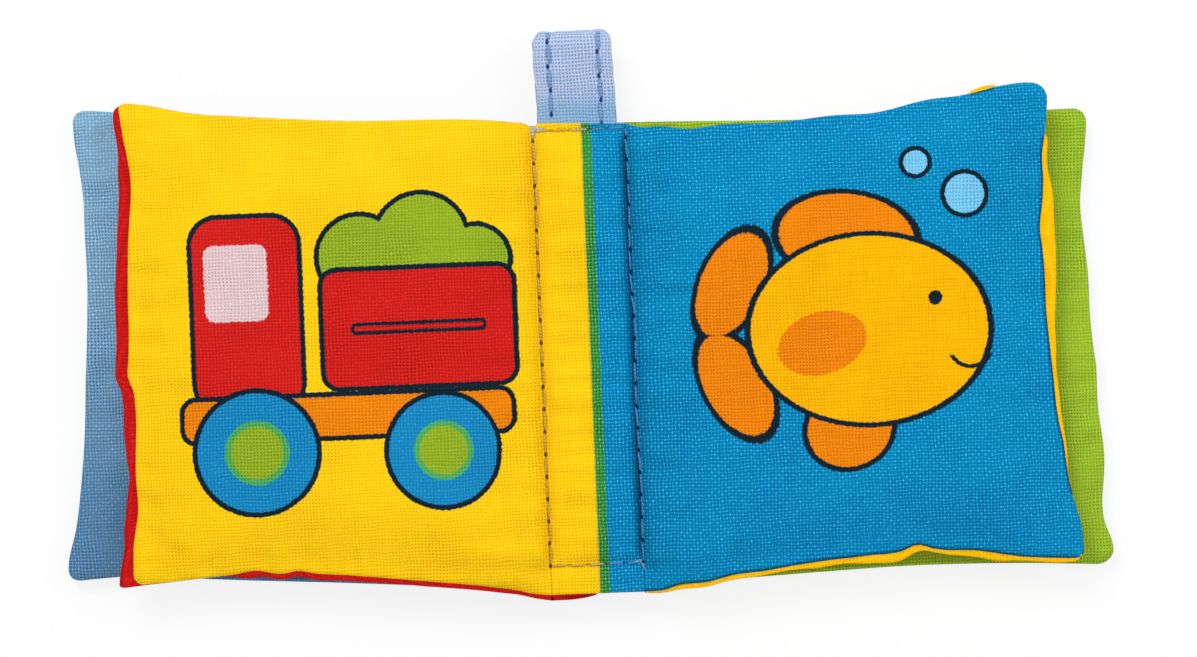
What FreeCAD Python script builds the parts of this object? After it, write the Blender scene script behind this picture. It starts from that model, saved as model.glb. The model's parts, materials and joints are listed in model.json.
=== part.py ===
import FreeCAD, Part
import math
import os

os.makedirs("parts", exist_ok=True)

# A cloth crinkle book lying open at its middle, in millimetres, +Z up.
# X runs along the open book, left cover towards -X; +Y points to the hanging loop.
# It is modelled about the middle of the spine and moved, at the end, so that the origin lies on the
# floor under the middle of the whole book.

# ---------------------------------------------------------------- driving dimensions
CLOTH = 0.4                # thickness of the cotton cloth
THREAD = 0.3               # how far a stitch stands off the cloth
THREAD_WIDTH = 0.5
NEEDLE_PLAY = 0.1          # room round a thread in its needle hole
FILM = 0.15                # thickness of the crinkle film

SPINE_WIDTH = 19.6         # between the two long rows of stitches
STITCH_MARGIN = 0.5        # from a row of stitches to the line that the leaves turn about
SPINE_TOP = 48.0           # ends of the page spread at the spine, from the middle of the spine
SPINE_BOTTOM = -51.5
COVER_SPINE_TOP = 46.9     # ends of the cover spread at the spine
COVER_SPINE_BOTTOM = -50.7
STITCH_TOP = 46.0          # ends of the rectangle of stitches
STITCH_BOTTOM = -45.6
STITCH_PITCH = 4.4
STITCH_SPACE = 0.7         # from the end of one stitch to the start of the next
TACK_LENGTH = 2.6          # short tack below the rectangle's lower right corner
TACK_WIDTH = 0.9

PAGE_THICKNESS = 9.0       # of a padded page at its crown
COVER_THICKNESS = 8.4      # of a padded cover at its crown
LEAF_GAP = 0.3             # between a cover and the page that lies on it
LIP_CLEARANCE = 0.3        # between a turning leaf and the stitches at its hinge
SWELL = 18.0               # distance over which a leaf swells from its stitched edge to full thickness
CORNER_RADIUS = 3.0        # of a leaf's outer corners
FLAT_SINK = 0.15           # how much of a cover's crown is pressed flat against the floor

LINING_GAP = 0.25          # between cloth, film and wadding inside a leaf
SEAM_ALLOWANCE = 1.2       # from a leaf's edge to the hollow between its cloths
SEAM_OPENING = 0.1         # half height of that hollow along the seam
WADDING_INSET = 1.6        # from a leaf's edge to its wadding
WADDING_EDGE = 0.05        # half thickness of the wadding along its edge
FILM_INSET = 8.0           # from a leaf's edge to the edge of its film
FACE_SEAM_RISE = 1.5       # how far above a page's middle its two cloths meet, at the lower corner

LOOP_WIDTH = 16.6
LOOP_X = -0.3              # middle of the loop, from the middle of the spine
LOOP_REACH = 67.0          # far end of the loop
LOOP_TAIL = 41.5           # inner end of the loop's tail, between the two spreads
LOOP_END_RADIUS = 2.8      # inside radius of the loop's far end
LOOP_CORNER = 2.5          # radius of the folded corners, seen from above
LOOP_ROW_SPACING = 10.5    # between the loop's two rows of stitches
LOOP_STITCH_START = 0.5    # from the edge of the spine to the first stitch
LOOP_STITCH_PITCH = 4.9
LOOP_STITCHES = 3          # in each row

# The outline of each leaf: its reach from its hinge line, half height at the spine and at the outer edge,
# middle at the spine, lean of its middle line towards +Y, how far the outer edge runs out towards its
# bottom corner, and how far the outer edge and the long edges pull in between the corners.
LEAVES = {
    "left_page": dict(side=-1, up=1, reach=88.1, half_in=49.7, half_out=50.0, middle=-1.8, lean=0.076,
                      skew=1.9, pull_out=0.5, pull_side=0.7),
    "right_page": dict(side=1, up=1, reach=89.7, half_in=49.2, half_out=49.8, middle=-2.3, lean=0.041,
                       skew=2.2, pull_out=1.6, pull_side=1.2),
    "left_cover": dict(side=-1, up=-1, reach=98.1, half_in=48.8, half_out=49.1, middle=-1.8, lean=0.072,
                       skew=2.4, pull_out=2.6, pull_side=0.8),
    "right_cover": dict(side=1, up=-1, reach=96.7, half_in=48.8, half_out=47.8, middle=-2.0, lean=-0.002,
                        skew=1.0, pull_out=1.8, pull_side=0.8),
}

# ---------------------------------------------------------------- worked out from them
HINGE_X = SPINE_WIDTH / 2 + STITCH_MARGIN
STACK_HALF = 3 * CLOTH                  # two cloths and one ply of the loop, each side of the hinge level
LIP_START = STACK_HALF + THREAD + LIP_CLEARANCE
HINGE_Z = COVER_THICKNESS + LEAF_GAP / 2 - FLAT_SINK
KNIFE_MARGIN = 1.5                      # how far the sheet that parts the two cloths overhangs a leaf
CHIP_MARGIN = 3.0                       # how far a corner's cutting tool overhangs it
TALL = 60.0                             # taller than any leaf
GRID = 12                               # spans of a leaf's surfaces each way
SAME_WAY = 1                            # a wall's two edges are followed in the same direction


# ---------------------------------------------------------------- small tools
def vec(x, y, z=0.0):
    return FreeCAD.Vector(x, y, z)


def block(low, high):
    """Box between two corners."""
    size = high - low
    return Part.makeBox(size.x, size.y, size.z, low)


def corner_chip(corner, side, t, radius):
    """What rounding takes off a square corner, seen from above, that points along (side, t)."""
    centre = corner - vec(side * radius, t * radius)
    tip = corner + vec(side * CHIP_MARGIN, t * CHIP_MARGIN)
    low = vec(min(centre.x, tip.x), min(centre.y, tip.y), -TALL)
    high = vec(max(centre.x, tip.x), max(centre.y, tip.y), TALL)
    round_post = Part.makeCylinder(radius, 2 * TALL, vec(centre.x, centre.y, -TALL))
    return block(low, high).cut(round_post)


def swell(distance):
    """0 at the stitched edge, rising as a quarter sine wave to 1 at SWELL, level after it."""
    return math.sin(math.pi / 2 * min(distance / SWELL, 1.0))


def crown(q):
    """Height of a padded section over its half width: 1 in the middle, round and steep at q = 1."""
    return math.sqrt(max(0.0, 1.0 - q ** 4))


# ---------------------------------------------------------------- padded leaves
class Leaf:
    """A padded leaf, with up = 1 for a page above the hinge level and -1 for a cover below it."""

    def __init__(self, shape):
        self.shape = shape
        self.side = shape["side"]
        self.up = shape["up"]
        self.thickness = PAGE_THICKNESS if self.up > 0 else COVER_THICKNESS

    def half_height(self, out):
        """Half the leaf's height at a distance out from its hinge, pulled in between its corners."""
        shape = self.shape
        share = out / shape["reach"]
        flare = (shape["half_out"] - shape["half_in"]) * share * share
        return shape["half_in"] + flare - shape["pull_side"] * 4 * share * (1 - share)

    def outer_edge(self, t):
        """Distance of the outer edge from the hinge at t, from -1 at the bottom to 1 at the top."""
        shape = self.shape
        return shape["reach"] - shape["skew"] * t - shape["pull_out"] * (1 - t * t)

    def middle_line(self, out):
        return self.shape["middle"] + self.shape["lean"] * out

    def plan(self, s, t, inset):
        """Distance out and Y of a point, s from 0 at the spine to 1 outside, t from -1 to 1 upwards."""
        start = LIP_START + inset
        out = start + s * (self.outer_edge(t) - inset - start)
        return out, self.middle_line(out) + t * (self.half_height(out) - inset)

    def bulge(self, out, y, inset):
        """Share of full thickness: swells from the spine and is crowned to the other three edges."""
        start = LIP_START + inset
        t = (y - self.middle_line(out)) / (self.half_height(out) - inset)
        s = (out - start) / (self.outer_edge(t) - inset - start)
        return swell(out - start) * crown(max(0.0, 2 * s - 1)) * crown(t)

    def seam_level(self, out):
        """Height of the leaf's middle, which leaves the hinge level as the leaf swells."""
        rise = LEAF_GAP / 2 + CLOTH + (self.thickness / 2 - CLOTH) * swell(out - LIP_START)
        return HINGE_Z + self.up * rise

    def sheet(self, height, inset):
        """Smooth face through a grid of points, closer at the edges, at height(out, y, t)."""
        rows = []
        for i in range(GRID + 1):
            s = math.sin(math.pi / 2 * i / GRID)
            row = []
            for j in range(GRID + 1):
                t = -math.cos(math.pi * j / GRID)
                out, y = self.plan(s, t, inset)
                row.append(vec(self.side * (HINGE_X + out), y, height(out, y, t)))
            rows.append(row)
        surface = Part.BSplineSurface()
        surface.interpolate(rows)
        return surface.toShape()

    def padded(self, edge, low, high, inset, crown_inset=None):
        """Solid whose faces stand edge off the leaf's middle, and low and high more at the crown."""
        within = inset if crown_inset is None else crown_inset

        def under(out, y, t):
            return self.seam_level(out) - edge - low * self.bulge(out, y, within)

        def over(out, y, t):
            return self.seam_level(out) + edge + high * self.bulge(out, y, within)

        return self.solid_between(under, over, inset)

    def solid_between(self, under, over, inset):
        """Solid between two sheets, closed by ruled walls, its outer corners rounded."""
        bottom = self.sheet(under, inset)
        top = self.sheet(over, inset)
        walls = [Part.makeRuledSurface(a, b, SAME_WAY) for a, b in zip(bottom.Edges, top.Edges)]
        shell = Part.makeShell([bottom, top] + walls)
        shell.sewShape()
        solid = Part.makeSolid(shell)
        for t in (-1, 1):
            out, y = self.plan(1, t, inset)
            corner = vec(self.side * (HINGE_X + out), y)
            solid = solid.cut(corner_chip(corner, self.side, t, CORNER_RADIUS))
        return solid

    def parting(self):
        """Everything above the seam where the leaf's two cloths meet."""
        rise = FACE_SEAM_RISE if self.up > 0 else 0.0

        def seam(out, y, t):
            return self.seam_level(out) + rise * swell(out - LIP_START) * (1 - t) / 2

        return self.sheet(seam, -KNIFE_MARGIN).extrude(vec(0, 0, TALL))

    def pieces(self):
        """Upper cloth, lower cloth, wadding and crinkle film of the leaf."""
        half = self.thickness / 2 - CLOTH
        outside = self.padded(CLOTH, half, half, 0.0)
        if self.up < 0:
            outside = outside.common(block(vec(-TALL * 3, -TALL * 3, 0), vec(TALL * 3, TALL * 3, TALL)))
        hollow = half - SEAM_OPENING
        cloth = outside.cut(self.padded(SEAM_OPENING, hollow, hollow, SEAM_ALLOWANCE))
        above = self.parting()

        fill = half - WADDING_EDGE - FILM - 3 * LINING_GAP
        wadding = self.padded(WADDING_EDGE, fill, fill, WADDING_INSET)

        def film_outside(out, y, t):
            depth = SEAM_OPENING + hollow * self.bulge(out, y, SEAM_ALLOWANCE) - LINING_GAP
            return self.seam_level(out) - self.up * depth

        def film_inside(out, y, t):
            return film_outside(out, y, t) + self.up * FILM

        if self.up > 0:
            film = self.solid_between(film_outside, film_inside, FILM_INSET)
        else:
            film = self.solid_between(film_inside, film_outside, FILM_INSET)
        return cloth.common(above), cloth.cut(above), wadding, film


# ---------------------------------------------------------------- stitches
def stitch(length, width, low, high, low_stand, high_stand):
    """One stitch along X through cloth from low to high: its thread, and its two needle holes."""
    top = high + high_stand
    bottom = low - low_stand
    thread = block(vec(-length / 2, -width / 2, bottom), vec(length / 2, width / 2, top))
    inner = length / 2 - THREAD_WIDTH
    thread = thread.cut(block(vec(-inner, -width, low), vec(inner, width, high)))
    holes = []
    for end in (-1, 1):
        middle = end * (length / 2 - THREAD_WIDTH / 2)
        reach = THREAD_WIDTH / 2 + NEEDLE_PLAY
        holes.append(block(vec(middle - reach, -width / 2 - NEEDLE_PLAY, low),
                           vec(middle + reach, width / 2 + NEEDLE_PLAY, high)))
    return thread, holes


def stitch_row(start, end, normal, pitch, **section):
    """A row of the nearest whole number of stitches, on cloth whose upper side faces normal."""
    run = end - start
    count = max(1, round(run.Length / pitch))
    step = run.Length / count
    turn = FreeCAD.Rotation(run, vec(0, 0), normal, "XZY")
    threads = []
    holes = []
    for k in range(count):
        place = FreeCAD.Placement(start + run * ((k + 0.5) / count), turn)
        thread, pair = stitch(step - STITCH_SPACE, **section)
        threads.append(thread.transformed(place.toMatrix()))
        holes += [hole.transformed(place.toMatrix()) for hole in pair]
    return threads, holes


def spine_stitches():
    """The rectangle of stitches through both spreads, and the tack at its lower right corner."""
    x = SPINE_WIDTH / 2
    through = dict(width=THREAD_WIDTH, low=-STACK_HALF, high=STACK_HALF, low_stand=THREAD, high_stand=THREAD)
    corners = [vec(-x, STITCH_BOTTOM, HINGE_Z), vec(-x, STITCH_TOP, HINGE_Z),
               vec(x, STITCH_TOP, HINGE_Z), vec(x, STITCH_BOTTOM, HINGE_Z)]
    threads = []
    holes = []
    for k, corner in enumerate(corners):
        row, pierced = stitch_row(corner, corners[(k + 1) % 4], vec(0, 0, 1), STITCH_PITCH, **through)
        threads += row
        holes += pierced
    tack, pair = stitch(TACK_LENGTH, **dict(through, width=TACK_WIDTH))
    middle = vec(x, STITCH_BOTTOM - STITCH_SPACE - TACK_LENGTH / 2, HINGE_Z)
    place = FreeCAD.Placement(middle, FreeCAD.Rotation(vec(0, 0, 1), 90)).toMatrix()
    threads.append(tack.transformed(place))
    holes += [hole.transformed(place) for hole in pair]
    return Part.makeCompound(threads), Part.makeCompound(holes)


# ---------------------------------------------------------------- spine
def spine_strip(low, high, bottom, top):
    """One cloth across the spine, its long edges rounded about the two hinge lines."""
    level = vec(0, 0, HINGE_Z)
    strip = block(vec(-HINGE_X, bottom, low) + level, vec(HINGE_X, top, high) + level)
    for side in (-1, 1):
        bead = Part.makeCylinder(STACK_HALF, top - bottom, vec(side * HINGE_X, bottom, HINGE_Z), vec(0, 1, 0))
        layer = block(vec(-2 * HINGE_X, bottom, low) + level, vec(2 * HINGE_X, top, high) + level)
        strip = strip.fuse(bead.common(layer))
    return strip.removeSplitter()


# ---------------------------------------------------------------- hanging loop
class Loop:
    """A strap folded to a loop: seen from the side, two plies open from the spine to a round end."""

    def __init__(self):
        self.radius = LOOP_END_RADIUS + CLOTH
        self.centre = LOOP_REACH - self.radius
        run = self.centre - SPINE_TOP
        self.angle = math.asin(self.radius / math.hypot(run, CLOTH)) - math.atan2(CLOTH, run)
        self.ply_run = math.sqrt(run * run + CLOTH * CLOTH - self.radius * self.radius)

    def end_arc(self, radius):
        """Round end, from the lower ply over the far end to the upper ply, and its two end points."""
        points = []
        for angle in (-math.pi / 2 - self.angle, 0.0, math.pi / 2 + self.angle):
            y = self.centre + radius * math.cos(angle)
            points.append(vec(LOOP_X - LOOP_WIDTH / 2, y, HINGE_Z + radius * math.sin(angle)))
        return Part.Arc(*points).toShape(), points[0], points[2]

    def solid(self):
        x = LOOP_X - LOOP_WIDTH / 2
        arc, low, high = self.end_arc(self.radius)
        tail = [high, vec(x, SPINE_TOP, HINGE_Z + CLOTH), vec(x, LOOP_TAIL, HINGE_Z + CLOTH),
                vec(x, LOOP_TAIL, HINGE_Z - CLOTH), vec(x, SPINE_TOP, HINGE_Z - CLOTH), low]
        outside = Part.Wire([arc] + Part.makePolygon(tail).Edges)
        arc, low, high = self.end_arc(LOOP_END_RADIUS)
        apex = vec(x, self.centre - LOOP_END_RADIUS / math.sin(self.angle), HINGE_Z)
        inside = Part.Wire([arc] + Part.makePolygon([high, apex, low]).Edges)
        strap = Part.Face(outside).cut(Part.Face(inside)).extrude(vec(LOOP_WIDTH, 0, 0))
        for side in (-1, 1):
            corner = vec(LOOP_X + side * LOOP_WIDTH / 2, LOOP_REACH)
            strap = strap.cut(corner_chip(corner, side, 1, LOOP_CORNER))
        return strap

    def stitches(self):
        """Two rows on each ply, lying on its outside and ending flush with its inside."""
        threads = []
        holes = []
        for face in (-1, 1):
            along = vec(0, math.cos(self.angle), face * math.sin(self.angle))
            normal = vec(0, -face * math.sin(self.angle), math.cos(self.angle))
            root = vec(0, SPINE_TOP, HINGE_Z + face * CLOTH)
            section = dict(width=THREAD_WIDTH, low=min(0.0, -face * CLOTH), high=max(0.0, -face * CLOTH),
                           low_stand=max(0.0, -face * THREAD), high_stand=max(0.0, face * THREAD))
            for row in (-1, 1):
                first = root + along * LOOP_STITCH_START + vec(LOOP_X + row * LOOP_ROW_SPACING / 2, 0)
                last = first + along * (LOOP_STITCHES * LOOP_STITCH_PITCH)
                row_threads, row_holes = stitch_row(first, last, normal, LOOP_STITCH_PITCH, **section)
                threads += row_threads
                holes += row_holes
        return Part.makeCompound(threads), Part.makeCompound(holes)


# ---------------------------------------------------------------- the whole book
def build():
    """Every piece of the book by name, about the middle of the spine."""
    pieces = {}
    for name, shape in LEAVES.items():
        upper, lower, wadding, film = Leaf(shape).pieces()
        upper_name, lower_name = ("front", "back") if shape["up"] > 0 else ("inside", "outside")
        pieces[f"{name}_{upper_name}_cloth"] = upper
        pieces[f"{name}_{lower_name}_cloth"] = lower
        pieces[f"{name}_wadding"] = wadding
        pieces[f"{name}_crinkle_film"] = film

    threads, holes = spine_stitches()
    pieces["spine_stitching"] = threads
    layers = {
        "page_spread_front_spine": (2 * CLOTH, 3 * CLOTH, SPINE_BOTTOM, SPINE_TOP),
        "page_spread_back_spine": (CLOTH, 2 * CLOTH, SPINE_BOTTOM, SPINE_TOP),
        "cover_spread_inside_spine": (-2 * CLOTH, -CLOTH, COVER_SPINE_BOTTOM, COVER_SPINE_TOP),
        "cover_spread_outside_spine": (-3 * CLOTH, -2 * CLOTH, COVER_SPINE_BOTTOM, COVER_SPINE_TOP),
    }
    for name, (low, high, bottom, top) in layers.items():
        pieces[name] = spine_strip(low, high, bottom, top).cut(holes)

    loop = Loop()
    loop_threads, loop_holes = loop.stitches()
    pieces["hanging_loop"] = loop.solid().cut(holes).cut(loop_holes)
    pieces["loop_stitching"] = loop_threads
    return pieces


book = build()
extent = Part.makeCompound(list(book.values())).optimalBoundingBox(False, False)
to_origin = vec(-extent.Center.x, -extent.Center.y, -extent.ZMin)
for node, shape in book.items():
    shape.translate(to_origin)
    shape.exportStep(f"parts/{node}.step")
    solids = len(shape.Solids)
    print(f"{node:32s} solids {solids:3d}  volume {shape.Volume:10.1f}  valid {shape.isValid()}")
print("moved by", to_origin, "hinge x", HINGE_X, "hinge z", HINGE_Z + to_origin.z)
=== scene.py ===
import json
import math

import bpy
import numpy as np
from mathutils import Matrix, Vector


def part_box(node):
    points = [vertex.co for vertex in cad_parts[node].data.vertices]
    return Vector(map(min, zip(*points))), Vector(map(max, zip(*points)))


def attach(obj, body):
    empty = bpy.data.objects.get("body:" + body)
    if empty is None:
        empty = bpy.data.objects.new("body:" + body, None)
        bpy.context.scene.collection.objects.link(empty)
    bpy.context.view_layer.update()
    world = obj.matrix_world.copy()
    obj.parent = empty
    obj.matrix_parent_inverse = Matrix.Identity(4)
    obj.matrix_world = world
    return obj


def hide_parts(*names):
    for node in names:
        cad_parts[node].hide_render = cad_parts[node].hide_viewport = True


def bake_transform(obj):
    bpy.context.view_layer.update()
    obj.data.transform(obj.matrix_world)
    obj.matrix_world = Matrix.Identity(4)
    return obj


# A cloth crinkle book lying open. Shapes are worked out in millimetres about the middle of the spine, at
# floor level, and moved to the row frame in metres as they become meshes.
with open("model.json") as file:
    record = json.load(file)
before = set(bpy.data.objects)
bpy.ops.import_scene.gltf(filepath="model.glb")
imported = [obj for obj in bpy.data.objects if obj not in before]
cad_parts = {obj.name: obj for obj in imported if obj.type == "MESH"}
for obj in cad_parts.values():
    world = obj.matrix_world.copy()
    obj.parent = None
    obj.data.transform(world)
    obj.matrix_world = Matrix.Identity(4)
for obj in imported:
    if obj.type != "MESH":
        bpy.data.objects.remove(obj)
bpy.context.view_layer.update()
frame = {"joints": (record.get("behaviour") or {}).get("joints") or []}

MM = 0.001


# ---- places taken from the frame
def reach_y(node):
    """Lowest and highest y of a node in millimetres."""
    return [corner[1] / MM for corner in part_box(node)]


def hinge(side):
    """Where a page's hinge line is, in millimetres."""
    joints = {joint["name"]: joint for joint in frame["joints"]}
    return np.array(joints[f"{side}_page_hinge"]["pos_m"]) / MM


LEFT_HINGE, RIGHT_HINGE = hinge("left"), hinge("right")
HINGE_Z = LEFT_HINGE[2]
HINGE_X = (RIGHT_HINGE[0] - LEFT_HINGE[0]) / 2
MIDDLE_X = (RIGHT_HINGE[0] + LEFT_HINGE[0]) / 2
SPINE_MARGIN = 0.5  # from a hinge line in to its row of stitches
STITCH_X = HINGE_X - SPINE_MARGIN
SPINE_TOP = 48.0  # top end of the page spread, from the spine's middle
MIDDLE_Y = reach_y("page_spread_front_spine")[1] - SPINE_TOP


def place(points):
    """Millimetres about the spine's middle to metres in the row frame."""
    return (np.asarray(points, float) + (MIDDLE_X, MIDDLE_Y, 0.0)) * MM


# ---- small numpy tools
def curve(where, value, at):
    """Smooth curve through values at the places where, along their first axis: cubic Hermite spans with
    averaged slopes."""
    slope = np.gradient(value, where, axis=0)
    k = np.clip(np.searchsorted(where, at, side="right") - 1, 0, len(where) - 2)
    span = (where[k + 1] - where[k]).reshape(k.shape + (1,) * (value.ndim - 1))
    q = (at - where[k]).reshape(span.shape) / span
    return ((2 * q**3 - 3 * q**2 + 1) * value[k] + (q**3 - 2 * q**2 + q) * span * slope[k]
            + (3 * q**2 - 2 * q**3) * value[k + 1] + (q**3 - q**2) * span * slope[k + 1])


def through(knots, at):
    """Curve through the knots (where, value), level past both ends."""
    where, value = np.array(knots, float).T
    return curve(where, value, np.clip(at, where[0], where[-1]))


def smooth(low, high, at):
    """0 below low, 1 above high, an S curve between."""
    q = np.clip((at - low) / (high - low), 0, 1)
    return q * q * (3 - 2 * q)


def uneven(seed, wavelength, x, y=None):
    """Uneven wave along x of about the wavelength and of height 1, or an uneven height field over x and y:
    a sum of sines of scattered length and phase, with y in scattered directions."""
    rng = np.random.default_rng(seed)
    terms, shortest, longest = (7, 0.6, 1.7) if y is None else (10, 0.7, 1.6)
    total = np.zeros_like(x, float)
    for _ in range(terms):
        run = x
        if y is not None:
            angle = rng.uniform(0, math.pi)
            run = x * math.cos(angle) + y * math.sin(angle)
        length = wavelength * rng.uniform(shortest, longest)
        total += np.sin(2 * math.pi * run / length + rng.uniform(0, 2 * math.pi))
    return total / math.sqrt(terms)


def hump(at, top):
    """Rises from 0 at 0 to 1 at top and dies away again."""
    return at / top * np.exp(1 - at / top)


GRID_STEP = 1.25
END_STEPS = (0.25, 0.25)
STEP_GROWTH = 1.35


def stepped(length, step=GRID_STEP, first=END_STEPS):
    """Places from 0 to 1 along a length in millimetres, step apart and closer together towards its ends:
    first holds the gaps there, which grow inwards."""
    runs = []
    for gap in first:
        places = [0.0]
        while gap < step:
            places.append(places[-1] + gap)
            gap *= STEP_GROWTH
        runs.append(np.array(places))
    start, end = runs[0], length - runs[1][::-1]
    middle = np.linspace(start[-1], end[0], int(round((end[0] - start[-1]) / step)) + 1)
    return np.concatenate([start[:-1], middle, end[1:]]) / length


def linked(obj):
    bpy.context.scene.collection.objects.link(obj)
    return obj


def new_object(name, points, faces, materials, face_material=None, **carried):
    """Mesh object at the origin from points in millimetres and faces as lists of indices. carried holds the
    points' vector attributes by name."""
    mesh = bpy.data.meshes.new(name)
    mesh.from_pydata(place(points).tolist(), [], faces)
    for material in materials:
        mesh.materials.append(material)
    if face_material is not None:
        mesh.polygons.foreach_set("material_index", np.asarray(face_material, np.int32))
    mesh.shade_smooth()
    for attribute, values in carried.items():
        stored = mesh.attributes.new(attribute, "FLOAT_VECTOR", "POINT").data
        stored.foreach_set("vector", np.asarray(values, np.float32).ravel())
    mesh.update()
    return linked(bpy.data.objects.new(name, mesh))


def grid_faces(index, flip=False):
    """Quads between neighbouring points of an array of vertex numbers."""
    a, b, c, d = index[:-1, :-1], index[1:, :-1], index[1:, 1:], index[:-1, 1:]
    order = (a, d, c, b) if flip else (a, b, c, d)
    return np.stack([corner.ravel() for corner in order], axis=1).tolist()


def tube_faces(rings, sides):
    """Quads round a tube of rings of points, with one face over each of its ends."""
    index = np.arange(rings * sides).reshape(rings, sides)
    faces = grid_faces(np.concatenate([index, index[:, :1]], axis=1), flip=True)
    return faces + [index[0, ::-1].tolist(), index[-1].tolist()]


def two_cloths(columns, rows, sign=1, seam=False):
    """Vertex numbers of a front and a back surface, the faces between them and each face's material. The
    surfaces share their first and last rows, and their last column where seam is set; strips close the
    other columns at the ends. sign is -1 where the columns run to the left."""
    front = np.arange(columns * rows).reshape(columns, rows)
    back = front.copy()
    own = back[:columns - seam, 1:-1]
    own[...] = front.size + np.arange(own.size).reshape(own.shape)
    faces = grid_faces(front, sign < 0)
    which = [0] * len(faces)
    faces += grid_faces(back, sign > 0)
    for column, way in ((0, -sign), (-1, sign))[:2 - seam]:
        a, b = front[column], back[column]
        strip = np.stack([a[:-1], b[:-1], b[1:], a[1:]], axis=1)[:, ::way]
        faces += [list(dict.fromkeys(face)) for face in strip.tolist()]
    return front, back, faces, which + [1] * (len(faces) - len(which))


def numbered(front_index, back_index, front, back):
    """Points of both surfaces in the order of their vertex numbers."""
    points = np.empty((back_index.max() + 1, 3))
    points[back_index] = back
    points[front_index] = front
    return points


AWAY = 9.0  # millimetres from a seam, where none is near


def cloth_piece(name, front, back, cut_x, cut_y, materials, sign=1, seam=False, from_seam=AWAY):
    """Closed object of a front and a back surface. Its points carry "cloth": their x and y in the flat cut
    and how far they are from a seam that shows."""
    front_index, back_index, faces, which = two_cloths(*cut_x.shape, sign, seam)
    cut = np.stack([cut_x, cut_y, np.broadcast_to(from_seam, cut_x.shape)], axis=-1)
    points, cloth = (numbered(front_index, back_index, *pair) for pair in ((front, back), (cut, cut)))
    return new_object(name, points, faces, materials, which, cloth=cloth)


# ---- stitching
STITCH_ROWS = STITCH_BOTTOM, STITCH_TOP = -45.6, 46.0  # y of the lower and the upper row
FIRST_STITCH = 2.1  # the short one that each long row starts with, at the top
LONG_ROW, SHORT_ROW = 19, 5  # stitches after it, and in each row across
ROW_PITCH = (STITCH_TOP - FIRST_STITCH - STITCH_BOTTOM) / LONG_ROW
BESIDE = 0.35  # the flat that a row's thread lies in, to each side
FOLD_END = HINGE_X + 1.8  # where the fold that turns about a hinge line ends
SEAM_GAP = 0.02  # left between meshes that carry one cloth on
LOOP_PITCH = 5.1
LOOP_ROWS = (-5.25, 5.25)  # the strap's two rows, from its middle
LOOP_FIRSTS = (8.0, 5.6)  # from the upper tail's end to each row's first hole
LOOP_TURN = 26.9  # from a tail's end to the middle of the fold


# ---- leaves: cut, padding and place
# Each leaf is two cloths sewn together along three sides, turned and lightly stuffed. Knots are millimetres:
# outer gives the outer seam's x at a y, top and bottom the long seams' y at a distance from the spine's
# middle, and rims how far the back cloth stands out past the seam that the front cloth ends at. corners are
# the radii of the upper and the lower outer corner.
PAGE_TOP, COVER_TOP = 17.55, HINGE_Z - 0.15
PAGE_STACK = (8.8, 9.6)  # the page spread's two cloths at the spine, low and high
COVER_STACK = (7.2, 8.0)
CAMERA_AWAY = 1.2  # metres from the pages to the camera
COVER_GROWTH = 1 + (PAGE_TOP - COVER_TOP) * MM / CAMERA_AWAY
ROOT_SWELL = 18.0  # from the stitch line to a leaf's full thickness
PAGE = dict(slab=(HINGE_Z + 0.15, PAGE_TOP), stack=PAGE_STACK, root=STITCH_X, front_swell=11.0, over=0.5)
COVER = dict(slab=(0.0, COVER_TOP), stack=COVER_STACK, root=FOLD_END, front_swell=ROOT_SWELL, over=0.0)

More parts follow.
